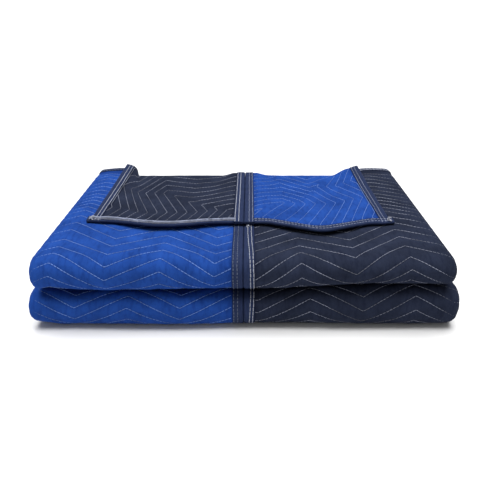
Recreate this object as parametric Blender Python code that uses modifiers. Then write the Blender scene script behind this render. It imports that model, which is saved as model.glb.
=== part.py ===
"""A quilted moving blanket of two bound panels, folded for the shelf.

The blanket is folded in thirds across its width, then back and forth along its
length into four strips, and its last stretch is turned back over the top as a
flap. Every layer is modelled, a little apart from the next.

Frame: metres, +Z up, X across the pile, -Y the side with the two round folds.
The origin is the middle of the pile's footprint, and x is counted from the
blanket's middle, which lies beside it. What differs to the left and the right
of that middle is given for -1 and 1.

A point of the cloth is given by its column in the section across the strip and
by v, the distance along the face cloth from the blanket's far end, at the
bottom of the pile, to the hem of the flap. Its w is its height over the middle
layer of its strip, towards the face cloth.
"""
import math

import bmesh
import bpy

# ---------------------------------------------------------------- sizes
PILE_WIDTH = 0.610        # a third of a 1.83 m blanket
LOWER_SPREAD = {-1: 0.012, 1: 0.015}   # how much further out the lower fold lies
PILE_DEPTH = 0.416        # front of the folds to the back of the flap's fold
LAYERS = 12               # four strips of three layers
CLOTH = 0.0056            # thickness of the quilted cloth between two stitch lines
PITCH = 0.0103            # from one layer's middle to the next

STITCH_LOFT = 0.56        # share of CLOTH left under a stitch line
EDGE_LOFT = 0.50          # share of CLOTH left inside a binding
HIDDEN_LOFT = 0.90        # share of CLOTH in the layers pressed inside

QUILT_SPACING = 0.0193    # between two stitch lines
QUILT_APEX = 0.0776       # from a peak of the zigzag to the next dip, across
QUILT_RISE = 0.0150       # half the zigzag's height
QUILT_RAMP = 0.0450       # length over which the zigzag flattens to an edge

TAPE = 0.0150             # width of the binding on each face
TAPE_THICKNESS = 0.0008
GAP = 0.0003              # between pieces that touch
TAPE_GAP = 0.00045        # between the binding's faces and the cloth inside it

FLAP_HALF_WIDTH = {-1: 0.2478, 1: 0.2348}   # middle of the blanket to the flap's side
FLAP_LENGTH = 0.268       # fold to hem
FLAP_FOLD_RADIUS = 0.0042

# How far the flap slid forward, each at its fold and at its hem: the middle of
# each half, the blanket's middle and the side, and the widths between them.
FORWARD = {-1: (0.047, 0.045), 1: (0.047, 0.068)}
CENTRE_FORWARD = (0.028, 0.016)
SIDE_FORWARD = {-1: (0.0, 0.0), 1: (0.0, 0.010)}
CENTRE_RAMP = (0.030, 0.105)
SIDE_SKEW = 0.07          # share of the slide that the side's binding follows
SIDE_RAMP = {-1: (0.016, 0.095), 1: (0.045, 0.100)}
PULLED = 0.160            # length of top sheet that the slide draws forward

HEM_LIFT = 0.010          # how far the middle of each half of the hem stands up
CENTRE_LIFT = 0.35        # share of it at the blanket's middle
LIFT_RAMP = 0.100         # width over which the hem rises to it
HEM_CURL = 2.2            # power of the rise from the fold to the hem
HEM_SETTLE = 0.0022       # how far the flap sinks towards the cloth under it
SHOWN_TOP = 0.115         # depth of top sheet that shows in front of the flap
SIDE_EASE = 0.0005        # more room in the binding of the flap's slanting side
STUB = 0.0055             # binding left over past the flap's corners
EAR_CLEARANCE = 0.0018    # from the flap's side to the binding beside it
TAPE_BESIDE = 0.020       # a binding has the cloth's own rows this near a bend
TAPE_STEP = 0.045         # and a row this often elsewhere

END_LIFT = {-1: 0.009, 1: 0.001}     # rise of the pile's lower edges at its ends
END_DROP = {-1: 0.0045, 1: 0.002}    # fall of its upper edges there
END_ZONE = 0.050          # width of that rounding
CREASE_RISE = 0.0105      # how much higher the folds meet at the pile's right end
BACK_SAG = 0.009          # fall of the pile's back between its side folds
SAG_START_X = {-1: 0.248, 1: 0.252}   # where it falls, and how far in it is down
SAG_DOWN_X = {-1: 0.214, 1: 0.205}
SAG_START_Y = -0.080      # the Y from which the back falls, and where it is down
SAG_DOWN_Y = 0.160
WAVE = 0.0012             # a quarter of the unevenness of the folds' front
WAVE_LONG = 11.0          # radians of that unevenness per metre across, in its
WAVE_SHORT = 23.0         # long and its short waves
WAVE_RISING = 40.0        # and per metre of height
WAVE_FADE = 0.050         # how far behind the middle it dies out

# Each panel: its side of the middle, how many layers its leg lies under the
# face, how far past the middle the leg ends, where the zigzag has a dip and how
# fast its dips drift sideways along the cloth. Then the face's columns at the
# zigzag's peaks, dips and middles, and further out.
PANELS = {
    "left": {"side": -1, "under": 1, "leg_end": 0.2955, "dip": 0.0430, "drift": 0.066,
             "quilt": (0.0430, 0.0818, 0.1205, 0.1588, 0.1970), "outer": (0.2625, 0.2780)},
    "right": {"side": 1, "under": 2, "leg_end": 0.2890, "dip": 0.1570, "drift": 0.019,
              "quilt": (0.0797, 0.1184, 0.1570, 0.1950), "outer": (0.2625,)},
}

# ---------------------------------------------------------------- derived
HALF_CLOTH = CLOTH / 2
TAPE_OFFSET = CLOTH * EDGE_LOFT / 2 + TAPE_GAP + TAPE_THICKNESS / 2
TAPE_PAST = GAP + TAPE_THICKNESS / 2
EDGE_ZONE = TAPE + 2 * GAP
CENTRE_EDGE = GAP / 2 + TAPE_THICKNESS + GAP
CENTRE_ZONE = CENTRE_EDGE + EDGE_ZONE
FLAP_EDGE = {side: half - TAPE_THICKNESS - GAP for side, half in FLAP_HALF_WIDTH.items()}
MIDDLE_X = (LOWER_SPREAD[-1] - LOWER_SPREAD[1]) / 2   # of the blanket, from the pile's

OUTER = 2.5 * PITCH       # bend radius of the outermost layer of a strip
MIDDLE = 1.5 * PITCH
INNER = 0.5 * PITCH
FLAP_REACH = FLAP_FOLD_RADIUS + TAPE_OFFSET + TAPE_THICKNESS / 2
PILE_HEIGHT = (LAYERS - 1) * PITCH + CLOTH
FRONT_CENTRE = -PILE_DEPTH / 2 + OUTER + HALF_CLOTH
EAR_END = PILE_DEPTH / 2 - FLAP_REACH
BACK_CENTRE = EAR_END - OUTER - CLOTH
FAR_END = EAR_END - 2 * CLOTH


def layer_height(number):
    """Height of the middle of a layer, counted from 0 at the floor."""
    return HALF_CLOTH + number * PITCH


# The stretches of the strip: what each does, the length of its face cloth, the
# Y where it starts or turns, and the Z of its middle layer or of its turn.
STRETCHES = (
    ("forward", FAR_END - FRONT_CENTRE, FAR_END, layer_height(1)),
    ("front", math.pi * OUTER, FRONT_CENTRE, layer_height(2.5)),
    ("back", BACK_CENTRE - FRONT_CENTRE, FRONT_CENTRE, layer_height(4)),
    ("turn", math.pi * INNER, BACK_CENTRE, layer_height(5.5)),
    ("forward", BACK_CENTRE - FRONT_CENTRE, BACK_CENTRE, layer_height(7)),
    ("front", math.pi * OUTER, FRONT_CENTRE, layer_height(8.5)),
    ("back", EAR_END - FRONT_CENTRE, FRONT_CENTRE, layer_height(10)),
)
ENDS = [sum(stretch[1] for stretch in STRETCHES[:n + 1]) for n in range(len(STRETCHES))]
V_LOWER_FOLD, V_LOWER_TOP, V_TURN, V_TURNED, V_UPPER_FOLD, V_TOP, V_EAR = ENDS
FLAP_BEND = math.pi * FLAP_FOLD_RADIUS
V_FLAP = V_EAR + FLAP_BEND
V_HEM = V_FLAP + FLAP_LENGTH


def ramp(low, high, value):
    """0 below low, 1 above high, and a straight rise between them."""
    return min(max((value - low) / (high - low), 0.0), 1.0)


def smooth(low, high, value):
    """0 below low, 1 above high, and a soft step between them."""
    t = ramp(low, high, value)
    return t * t * (3 - 2 * t)


def mix(pair, share):
    """A share of the way from the pair's first value to its second."""
    return pair[0] + (pair[1] - pair[0]) * share


def side_of(x):
    return -1 if x < 0 else 1


# ---------------------------------------------------------------- the folds
def pile_point(v, w):
    """Y and Z of the strip at v, w off its middle layer."""
    number = 0
    while number < len(STRETCHES) - 1 and v > ENDS[number]:
        number += 1
    kind, length, y, z = STRETCHES[number]
    along = v - (ENDS[number] - length)
    if kind == "forward":
        return y - along, z - w
    if kind == "back":
        return y + along, z + w
    turn = math.pi * along / length
    if kind == "front":
        radius = MIDDLE + w
        return y - radius * math.sin(turn), z - radius * math.cos(turn)
    radius = MIDDLE - w
    return y + radius * math.sin(turn), z - radius * math.cos(turn)


def flap_slide(x, share=0.0):
    """How far the flap has slid forward at x, a share of the way to the hem."""
    side, out = side_of(x), abs(x)
    risen = smooth(CENTRE_ZONE, CENTRE_ZONE + mix(CENTRE_RAMP, share), out)
    inner = mix((mix(CENTRE_FORWARD, share), mix(FORWARD[side], share)), risen)
    inside = FLAP_EDGE[side] - out
    skewed = SIDE_SKEW * ramp(0.0, EDGE_ZONE, inside)
    followed = smooth(EDGE_ZONE, EDGE_ZONE + mix(SIDE_RAMP[side], share), inside)
    return mix((mix(SIDE_FORWARD[side], share), inner), mix((skewed, 1.0), followed))


def flap_lift(x, share):
    """Height of the flap over its fold's level, at a share of the way to the hem."""
    across = mix((CENTRE_LIFT, 1.0), smooth(0.0, LIFT_RAMP, abs(x)))
    across *= smooth(0.0, LIFT_RAMP, FLAP_EDGE[side_of(x)] - abs(x))
    return HEM_LIFT * across * share ** HEM_CURL - HEM_SETTLE * smooth(0.05, 0.5, share)


def flap_middle(x, v):
    """Y and Z of the middle of the flap's cloth."""
    z = layer_height(LAYERS - 1)
    if v <= V_FLAP:
        turn = (v - V_EAR) / FLAP_FOLD_RADIUS
        return (EAR_END - flap_slide(x) + FLAP_FOLD_RADIUS * math.sin(turn),
                z + FLAP_FOLD_RADIUS * (1 - math.cos(turn)))
    run = v - V_FLAP
    share = run / FLAP_LENGTH
    y = EAR_END - flap_slide(x, share) - run
    return y, z + 2 * FLAP_FOLD_RADIUS + flap_lift(x, share)


def flap_point(x, v, off):
    """Y and Z on the flap, off its middle towards the face of the cloth."""
    step = GAP
    y_before, z_before = flap_middle(x, v - step)
    y_after, z_after = flap_middle(x, v + step)
    y, z = flap_middle(x, v)
    rise, run = z_after - z_before, y_after - y_before
    length = math.hypot(rise, run)
    return y - off * rise / length, z + off * run / length


def half_width(side, v):
    """Half the width of the strip at v: the lower strips lie a little wider."""
    return PILE_WIDTH / 2 + LOWER_SPREAD[side] * (1 - smooth(V_TURN, V_TURNED, v))


def settling(x, y, z):
    """Y and Z by which the pile's weight rounds its ends and moves its front."""
    side, out = side_of(x), abs(x)
    level = min(max((z - HALF_CLOTH) / (PILE_HEIGHT - CLOTH), 0.0), 1.0)
    half = PILE_WIDTH / 2 + LOWER_SPREAD[side] * (1 - level)
    end = max(0.0, (out - (half - END_ZONE)) / END_ZONE) ** 2
    rise = end * (END_LIFT[side] * max(0.0, 1 - 2 * level) - END_DROP[side] * max(0.0, 2 * level - 1))
    rise += CREASE_RISE * (1 - abs(2 * level - 1)) * ramp(0.0, SAG_DOWN_X[1], x)
    sag = 1 - ramp(SAG_DOWN_X[side], SAG_START_X[side], out)
    rise -= BACK_SAG * sag * level * smooth(SAG_START_Y, SAG_DOWN_Y, y)
    near = smooth(-WAVE_FADE, PILE_DEPTH / 2, -y)
    wave = 2 + math.sin(WAVE_LONG * x + 0.6) + math.sin(WAVE_SHORT * x + WAVE_RISING * z)
    return WAVE * near * wave, rise


class Panel:
    """One panel: half of the face, a side fold and a leg folded under.

    A column of its cloth is ("face", x from the middle of the blanket),
    ("fold", 0 at the face to 1 at the leg) or ("leg", x past the middle,
    below 0 on the panel's own side).
    """

    def __init__(self, side, under, leg_end, dip, drift, quilt, outer):
        self.side, self.leg_end = side, leg_end
        self.dip, self.drift, self.quilt = dip, drift, quilt
        self.leg_w = PITCH * (1 - under)
        self.radius = PITCH * under / 2
        self.top_fold = PILE_WIDTH / 2 - self.radius - HALF_CLOTH
        self.flap_edge = FLAP_EDGE[side]
        self.flap_zone = self.flap_edge - EDGE_ZONE
        face = (CENTRE_EDGE, CENTRE_ZONE, (CENTRE_ZONE + quilt[0]) / 2) + quilt
        face += (self.flap_zone, self.flap_edge) + outer + (self.top_fold,)
        self.columns = [("face", x) for x in face]
        self.columns += [("fold", turn / 4) for turn in range(1, 5)]
        legs = (-SAG_DOWN_X[side], 0.0, SAG_DOWN_X[-side], leg_end - EDGE_ZONE, leg_end)
        self.columns += [("leg", x) for x in legs]

    def shift(self, v):
        """How far sideways the quilting has drifted at v."""
        return self.drift * max(0.0, V_TOP - v)

    def drifted(self, x, v):
        """Where a column of the face lies at v, drifting with the quilting."""
        shift = self.shift(v)
        first, last, top = self.quilt[0], self.quilt[-1], self.top_fold
        fold = half_width(self.side, v) - self.radius - HALF_CLOTH
        if x <= CENTRE_ZONE:
            return x
        if x < first:
            return x + shift * (x - CENTRE_ZONE) / (first - CENTRE_ZONE)
        if x <= last:
            return x + shift
        return last + shift + (fold - last - shift) * min((x - last) / (top - last), 1.0)

    def zigzag(self, x, v):
        """Height of the zigzag, from -1 in a dip to 1 at a peak."""
        phase = (x - self.dip - self.shift(v)) / QUILT_APEX
        return 1 - 2 * abs(phase % 2 - 1)

    def row(self, column, v):
        """The v of a column where a row crosses it: the rows follow the zigzag."""
        kind, value = column
        weight = zigzag_weight(v)
        if kind == "leg" or not weight:
            return v
        if kind == "fold":
            x = half_width(self.side, v) - self.radius
            weight *= 1 - value
        elif value <= CENTRE_ZONE:
            x = CENTRE_ZONE / 2
        elif v > V_EAR and value >= self.flap_zone:
            x = self.flap_zone
        else:
            x = self.drifted(value, v)
        return v + QUILT_RISE * weight * self.zigzag(x, v)

    def folded(self, column, v, off, flap):
        """A point of the evenly folded cloth, before it settles."""
        kind, value = column
        if kind == "face":
            x = value if flap else self.drifted(value, v)
            w = PITCH + off
        elif kind == "fold":
            reach = self.radius + off
            fold = half_width(self.side, v) - self.radius - HALF_CLOTH
            x = fold + reach * math.sin(math.pi * value)
            w = PITCH - self.radius + reach * math.cos(math.pi * value)
        else:
            x, w = -value, self.leg_w - off
        x *= self.side
        if flap and v > V_EAR:
            y, z = flap_point(x, v, off)
        else:
            y, z = pile_point(v, w)
            if kind == "face":
                y -= flap_slide(x) * smooth(V_EAR - PULLED, V_EAR, v)
        return x, y, z

    def point(self, column, v, off=0.0, flap=False):
        """A point of the cloth's middle, or off it towards its face."""
        along, up = settling(*self.folded(column, v, 0.0, flap))
        x, y, z = self.folded(column, v, off, flap)
        return x + MIDDLE_X, y + along, z + up


# ---------------------------------------------------------------- the rows
def zigzag_weight(v):
    """Share of the zigzag that the rows follow: none inside or along an edge."""
    fade = QUILT_RAMP
    lower = smooth(V_LOWER_FOLD - fade, V_LOWER_FOLD + fade / 3, v)
    lower *= 1 - smooth(V_LOWER_TOP, V_LOWER_TOP + fade, v)
    upper = smooth(V_UPPER_FOLD - fade, V_UPPER_FOLD, v)
    upper *= 1 - smooth(V_EAR - EDGE_ZONE - fade, V_EAR - EDGE_ZONE, v)
    flap = smooth(V_FLAP, V_FLAP + fade, v)
    flap *= 1 - smooth(V_HEM - EDGE_ZONE - fade, V_HEM - EDGE_ZONE, v)
    return lower + upper + flap


def spaced(start, end, steps, loft):
    """Rows evenly spaced from start to end, both included."""
    return [(start + (end - start) * n / steps, loft) for n in range(steps + 1)]


def quilted(start, end, spacing):
    """Rows that alternate between a stitch line and the crest beside it."""
    steps = round((end - start) / spacing)
    rows = spaced(start, end, steps, 1.0)
    return [(v, STITCH_LOFT if n % 2 == 0 else 1.0) for n, (v, _) in enumerate(rows)]


def cloth_rows():
    """Every row of a panel, as its v and the loft of the cloth there."""
    half = QUILT_SPACING / 2
    shown = V_TOP + SHOWN_TOP
    rows = [(0.0, EDGE_LOFT), (EDGE_ZONE, EDGE_LOFT)]
    rows += spaced(2 * EDGE_ZONE, V_LOWER_FOLD - half, 3, 1.0)
    rows += quilted(V_LOWER_FOLD, V_LOWER_TOP + half, half)
    rows += spaced(V_LOWER_TOP + 4 * half, V_TURN - half, 2, HIDDEN_LOFT)
    rows += spaced(V_TURN, V_TURNED, 6, HIDDEN_LOFT)
    rows += spaced(V_TURNED + half, V_UPPER_FOLD - 2 * half, 3, HIDDEN_LOFT)
    rows += quilted(V_UPPER_FOLD, shown, half)
    rows += quilted(shown + 3 * half, V_EAR - 2 * EDGE_ZONE, 3 * half)
    rows += [(V_EAR - EDGE_ZONE, HIDDEN_LOFT), (V_EAR, HIDDEN_LOFT)]
    rows += spaced(V_EAR + FLAP_BEND / 5, V_FLAP, 4, HIDDEN_LOFT)
    rows += quilted(V_FLAP + 2 * half, V_HEM - EDGE_ZONE - half, half)
    rows += [(V_HEM - EDGE_ZONE, EDGE_LOFT), (V_HEM, EDGE_LOFT)]
    return rows


ROWS = cloth_rows()
BENDS = ((V_LOWER_FOLD, V_LOWER_TOP), (V_TURN, V_TURNED), (V_UPPER_FOLD, V_TOP), (V_EAR, V_FLAP))


def tape_rows(start, end):
    """The rows that a binding needs: those in and beside a bend, few elsewhere."""
    kept = []
    for v, _ in ROWS:
        bent = any(low - TAPE_BESIDE <= v <= high + TAPE_BESIDE for low, high in BENDS)
        far = not kept or v - kept[-1] > TAPE_STEP
        if start <= v <= end and (bent or far or v == end):
            kept.append(v)
    return kept


# ---------------------------------------------------------------- building
def make_material(name, colour, roughness):
    material = bpy.data.materials.new(name)
    material.use_nodes = True
    shader = material.node_tree.nodes["Principled BSDF"]
    shader.inputs["Base Color"].default_value = (*colour, 1.0)
    shader.inputs["Roughness"].default_value = roughness
    shader.inputs["Metallic"].default_value = 0.0
    return material


def make_sheet(name, wide, long, place, material, collection):
    """An open grid of wide by long points, each moved to place(i, j).

    Where place gives no point, the grid has a hole or an open edge. Otherwise
    it gives the point and the loft, a share of the sheet's full thickness.
    """
    bm = bmesh.new()
    bmesh.ops.create_grid(bm, x_segments=wide - 1, y_segments=long - 1, size=1.0)
    loft = bm.verts.layers.deform.verify()
    unused = []
    for vert in bm.verts:
        i = round((vert.co.x + 1) / 2 * (wide - 1))
        j = round((vert.co.y + 1) / 2 * (long - 1))
        placed = place(i, j)
        if placed is None:
            unused.append(vert)
        else:
            vert.co, vert[loft][0] = placed
    bmesh.ops.delete(bm, geom=unused, context="VERTS")
    mesh = bpy.data.meshes.new(name)
    bm.to_mesh(mesh)
    bm.free()
    mesh.shade_smooth()
    sheet = bpy.data.objects.new(name, mesh)
    sheet.vertex_groups.new(name="loft")
    sheet.data.materials.append(material)
    collection.objects.link(sheet)
    return sheet


def thicken(sheet, thickness, even):
    solidify = sheet.modifiers.new("thickness", "SOLIDIFY")
    solidify.thickness = thickness
    solidify.offset = 0.0
    solidify.use_even_offset = even
    solidify.vertex_group = "loft"
    solidify.thickness_vertex_group = 0.0


def make_cloth(name, panel, material, collection):
    """The panel's quilted cloth, with the flap as a tongue of its face."""

    def place(i, j):
        column = panel.columns[i]
        v, loft = ROWS[j]
        kind, value = column
        on_flap = kind == "face" and value <= panel.flap_edge
        if v > V_EAR and not on_flap:
            return None
        bound = (
            kind == "face" and value <= CENTRE_ZONE
            or kind == "face" and value >= panel.flap_zone and v >= V_EAR
            or kind == "leg" and value >= panel.leg_end - EDGE_ZONE
            or (kind != "face" or value >= panel.flap_edge) and V_EAR - EDGE_ZONE <= v <= V_EAR
        )
        if bound:
            loft = EDGE_LOFT
        return panel.point(column, panel.row(column, v), flap=on_flap and v > V_EAR), loft

    sheet = make_sheet(name, len(panel.columns), len(ROWS), place, material, collection)
    thicken(sheet, CLOTH, even=False)


def make_binding(name, stations, fold, material, collection):
    """A tape folded over an edge: fold(station, inward, off) gives its corners."""
    corners = ((-TAPE, TAPE_OFFSET), (TAPE_PAST, TAPE_OFFSET),
               (TAPE_PAST, -TAPE_OFFSET), (-TAPE, -TAPE_OFFSET))

    def place(i, j):
        return fold(stations[j], *corners[i]), 1.0

    sheet = make_sheet(name, len(corners), len(stations), place, material, collection)
    thicken(sheet, TAPE_THICKNESS, even=True)


def bind_centre(name, panel, material, collection):
    """The binding along the blanket's middle, the whole length of the cloth."""
    inner = ("face", CENTRE_EDGE)
    stations = [panel.row(inner, v) for v in tape_rows(0.0, V_HEM)]
    stations[0] -= TAPE_PAST
    stations[-1] += TAPE_PAST

    def fold(v, past, off):
        return panel.point(("face", CENTRE_EDGE - past), v, off, flap=v > V_EAR)

    make_binding(name, stations, fold, material, collection)


def bind_leg(name, panel, material, collection):
    """The binding along the leg's free edge, inside the pile."""
    stations = tape_rows(0.0, V_EAR)
    stations[0] -= TAPE_PAST
    stations[-1] += TAPE_PAST

    def fold(v, past, off):
        return panel.point(("leg", panel.leg_end + past), v, off)

    make_binding(name, stations, fold, material, collection)


def bind_flap_side(name, panel, material, collection):
    """The binding along the flap's side edge, from its fold to its hem."""
    edge = ("face", panel.flap_edge)
    stations = [V_EAR + 3 * GAP]
    stations += [panel.row(edge, v) for v in tape_rows(V_EAR + GAP, V_HEM - 2 * EDGE_ZONE)]
    stations += [V_HEM - EDGE_ZONE - GAP]

    def fold(v, past, off):
        eased = past + SIDE_EASE if past > 0 else past
        return panel.point(("face", panel.flap_edge + eased), v, off, flap=True)

    make_binding(name, stations, fold, material, collection)


def bind_hem(name, panel, material, collection):
    """The binding along the flap's hem, with a stub left over at its corner."""
    stations = [CENTRE_ZONE + GAP]
    stations += [x for kind, x in panel.columns if kind == "face" and CENTRE_ZONE < x <= panel.flap_edge]
    stations += [FLAP_HALF_WIDTH[panel.side] + STUB]

    def fold(x, past, off):
        return panel.point(("face", x), V_HEM + past, off, flap=True)

    make_binding(name, stations, fold, material, collection)


def bind_end(name, panel, v_edge, start, material, collection):
    """The binding across an end of the pile, round the side fold to the leg."""
    stations = [("face", start)]
    stations += [c for c in panel.columns if c[0] == "face" and c[1] > start + GAP]
    stations += [c for c in panel.columns if c[0] == "fold"]
    stations += [c for c in panel.columns if c[0] == "leg" and c[1] < panel.leg_end - EDGE_ZONE]
    stations += [("leg", panel.leg_end - EDGE_ZONE - GAP)]
    outward = 1 if v_edge else -1

    def fold(column, past, off):
        return panel.point(column, v_edge + outward * past, off)

    make_binding(name, stations, fold, material, collection)


def main():
    for old in list(bpy.data.objects):
        bpy.data.objects.remove(old, do_unlink=True)
    collection = bpy.data.collections.new("Moving blanket")
    bpy.context.scene.collection.children.link(collection)
    cloths = {
        "left": make_material("royal blue quilted cotton", (0.028, 0.085, 0.40), 0.85),
        "right": make_material("black quilted cotton", (0.018, 0.020, 0.034), 0.85),
    }
    tape = make_material("navy woven binding", (0.040, 0.055, 0.095), 0.80)
    for name, sizes in PANELS.items():
        panel = Panel(**sizes)
        make_cloth(f"panel_{name}", panel, cloths[name], collection)
        bind_centre(f"binding_centre_{name}", panel, tape, collection)
        bind_leg(f"binding_leg_{name}", panel, tape, collection)
        bind_flap_side(f"binding_flap_side_{name}", panel, tape, collection)
        bind_hem(f"binding_hem_{name}", panel, tape, collection)
        bind_end(f"binding_far_{name}", panel, 0.0, CENTRE_ZONE + GAP, tape, collection)
        ear_start = FLAP_HALF_WIDTH[panel.side] + EAR_CLEARANCE
        bind_end(f"binding_back_{name}", panel, V_EAR, ear_start, tape, collection)


main()
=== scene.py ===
"""The looks of the folded moving blanket: quilted cloth, bindings and stitching.

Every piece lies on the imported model's folds. A point of the cloth is given by
its column in the section across the strip and by v, the distance along the
face cloth from the blanket's far end at the bottom of the pile to the flap's
hem. Its off is its height over the middle of the cloth, towards the face.
Metres, +Z up, X across the pile, -Y the side with the two round folds. What
differs to the left and the right of the blanket's middle is given for -1 and 1.
"""
import math
import random
from collections import namedtuple

import bmesh
import bpy
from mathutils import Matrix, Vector, noise


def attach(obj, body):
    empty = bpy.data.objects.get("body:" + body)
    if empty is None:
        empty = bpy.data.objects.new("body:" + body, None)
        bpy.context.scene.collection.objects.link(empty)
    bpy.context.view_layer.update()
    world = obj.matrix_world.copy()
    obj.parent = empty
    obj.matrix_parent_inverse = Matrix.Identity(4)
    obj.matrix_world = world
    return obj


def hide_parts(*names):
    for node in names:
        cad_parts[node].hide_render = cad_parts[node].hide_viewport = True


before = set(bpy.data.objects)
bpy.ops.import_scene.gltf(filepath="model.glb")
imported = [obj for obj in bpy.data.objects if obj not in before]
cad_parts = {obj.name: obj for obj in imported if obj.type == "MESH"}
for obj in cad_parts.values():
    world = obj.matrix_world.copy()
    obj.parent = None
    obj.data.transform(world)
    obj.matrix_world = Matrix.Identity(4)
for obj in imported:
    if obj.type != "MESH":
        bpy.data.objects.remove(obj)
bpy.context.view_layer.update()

# ---------- the folds' sizes
PILE_WIDTH = 0.610  # a third of a 1.83 m blanket
LOWER_SPREAD = {-1: 0.012, 1: 0.015}  # how much further out the lower fold lies
PILE_DEPTH = 0.416  # front of the folds to the back of the flap's fold
LAYERS = 12  # four strips of three layers
CLOTH = 0.0056  # thickness of the quilted cloth between two stitch lines
PITCH = 0.0103  # from one layer's middle to the next

TAPE = 0.0150  # width of the binding on each face
TAPE_THICKNESS = 0.0008
GAP = 0.0003  # between pieces that touch
TAPE_GAP = 0.00045  # between the binding's faces and the cloth inside it

FLAP_HALF_WIDTH = {-1: 0.2478, 1: 0.2348}  # middle of the blanket to the flap's side
FLAP_LENGTH = 0.273  # fold to hem
FLAP_FOLD_RADIUS = 0.0042

# How far the flap slid forward, each at its fold and at its hem: the middle of
# each half, the blanket's middle and the side, and the widths between them.
FORWARD = {-1: (0.047, 0.035), 1: (0.047, 0.055)}
CENTRE_FORWARD = (0.028, 0.017)
SIDE_FORWARD = {-1: (0.0, 0.006), 1: (0.0, 0.014)}
CENTRE_RAMP = (0.030, 0.105)
SIDE_SKEW = 0.07  # share of the slide that the side's binding follows
SIDE_RAMP = {-1: (0.016, 0.095), 1: (0.045, 0.100)}
PULLED = 0.160  # length of top sheet that the slide draws forward

HEM_LIFT = 0.0050  # how far the middle of each half of the hem stands up
CENTRE_LIFT = 0.35  # share of it at the blanket's middle
LIFT_RAMP = 0.100  # width over which the hem rises to it
HEM_CURL = 2.2  # power of the rise from the fold to the hem
HEM_SETTLE = 0.0022  # how far the flap sinks towards the cloth under it
HEM_SETTLING = (0.05, 0.5)  # shares of its length between which it does
SIDE_EASE = 0.0005  # more room in the binding of the flap's slanting side
END_CLOSING = 0.8  # share of its height that the middle binding loses at the hem
STUB = 0.0055  # binding left over past the flap's corners
EAR_CLEARANCE = 0.0018  # from the flap's side to the binding beside it

END_LIFT = {-1: 0.009, 1: 0.001}  # rise of the pile's lower edges at its ends
END_DROP = {-1: 0.0045, 1: 0.002}  # fall of its upper edges there
END_ZONE = 0.050  # width of that rounding
CREASE_RISE = 0.0105  # how much higher the folds meet at the pile's right end
BACK_SAG = 0.009  # fall of the pile's back between its side folds
SAG_X = {-1: (0.214, 0.248), 1: (0.205, 0.252)}  # from where it is down to its start
SAG_Y = (-0.080, 0.160)  # the Y from which the back falls, and where it is down
WAVE = 0.0012  # a quarter of the unevenness of the folds' front
WAVE_LONG = 11.0  # radians of its long waves per metre across
WAVE_PHASE = 0.6  # and in the middle
WAVE_SHORT = 23.0  # radians of its short waves per metre across
WAVE_RISING = 40.0  # and per metre of height
WAVE_FADE = 0.050  # how far behind the middle it dies out

RUMPLE = 0.0007  # small unevenness of the cloth
RUMPLE_SCALE = 26.0  # its waves per metre
RUMPLE_FINER = (2.3, 0.5)  # how much finer its second waves are, and their share
PUCKER = 0.00022  # the finer one between the stitch lines
PUCKER_PLACE = (75.0, 120.0, 7.0)  # its waves per metre, and its layer of the noise
RUMPLE_START = 0.020  # length of cloth over which both set in
SOFT_SIDE = 0.035  # how far from the side folds they start

# ---------- the quilting's sizes
QUILT_APEX = 0.0776  # from a peak of the zigzag to the next dip, across
BACK_SPACING = 0.0205  # between two stitch lines far behind the upper fold
TURN_SPACING = 0.0193  # inside the pile and round its back turn
LOWER_SPACING = 0.0175  # on the lower fold
LOWER_RISE = 0.0180  # half the zigzag's height there, and far behind the upper
QUILT_RAMP = 0.0600  # length over which the zigzag flattens to an edge
LINES_PAST = 0.020  # how far inside the pile the lines of both folds go on
BACK_START = 0.080  # from V_TOP to where the lines start to change behind it
BACK_SPACED = 0.120  # to where they have BACK_SPACING
BACK_FLAT = 0.240  # and to where they have LOWER_RISE and don't climb
STITCH_LOFT = 0.50  # share of CLOTH left under a stitch line
EDGE_LOFT = 0.50  # under a binding
HIDDEN_LOFT = 0.90  # and where no relief shows
LOFT_RAMP = 0.009  # from a binding's edge to the relief's full height
SIDE_EVENED = 0.65  # share of the relief that the side folds lose
PUFF = 0.62  # power of the rise from a stitch line to its crest

# A panel's leg lies "under" layers below its face and ends at "leg_end" past the
# blanket's middle. Its zigzag has a dip at that distance from the middle, and drifts
# outwards by that share of the length below V_TOP.
PANELS = {
    "left": {"side": -1, "under": 1, "leg_end": 0.2955, "dip": 0.0390, "drift": 0.066},
    "right": {"side": 1, "under": 2, "leg_end": 0.2890, "dip": 0.1600, "drift": 0.019},
}
# The zigzag on the upper fold. A line's v past V_TOP, one's past V_LOWER_TOP and
# the distance from the middle at which a line keeps its v. Then, each on the fold
# and on the top sheet, half the zigzag's height and its lines' spacing, and how
# much they climb per metre outwards, with the v past V_TOP between which each
# two change.
QUILTS = {
    -1: {"upper": -0.0108, "lower": 0.0055, "level": 0.118,
         "rise": (0.0180, 0.0245), "spacing": (0.0185, 0.0270), "change": (-0.045, 0.055),
         "climb": (0.088, 0.160), "climbing": (0.000, 0.040)},
    1: {"upper": 0.0125, "lower": -0.0030, "level": 0.160,
        "rise": (0.0250, 0.0250), "spacing": (0.0190, 0.0262), "change": (-0.075, -0.020),
        "climb": (0.070, 0.210), "climbing": (-0.035, 0.005)},
}

# ---------- derived
HALF_CLOTH = CLOTH / 2
TAPE_OFFSET = CLOTH * EDGE_LOFT / 2 + TAPE_GAP + TAPE_THICKNESS / 2
TAPE_PAST = GAP + TAPE_THICKNESS / 2
TAPE_TOP = TAPE_OFFSET + TAPE_THICKNESS / 2
EDGE_ZONE = TAPE + 2 * GAP
CENTRE_EDGE = GAP / 2 + TAPE_THICKNESS + GAP
CENTRE_ZONE = CENTRE_EDGE + EDGE_ZONE
FLAP_EDGE = {side: half - TAPE_THICKNESS - GAP for side, half in FLAP_HALF_WIDTH.items()}
MIDDLE_X = (LOWER_SPREAD[-1] - LOWER_SPREAD[1]) / 2  # of the blanket, from the pile's

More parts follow.
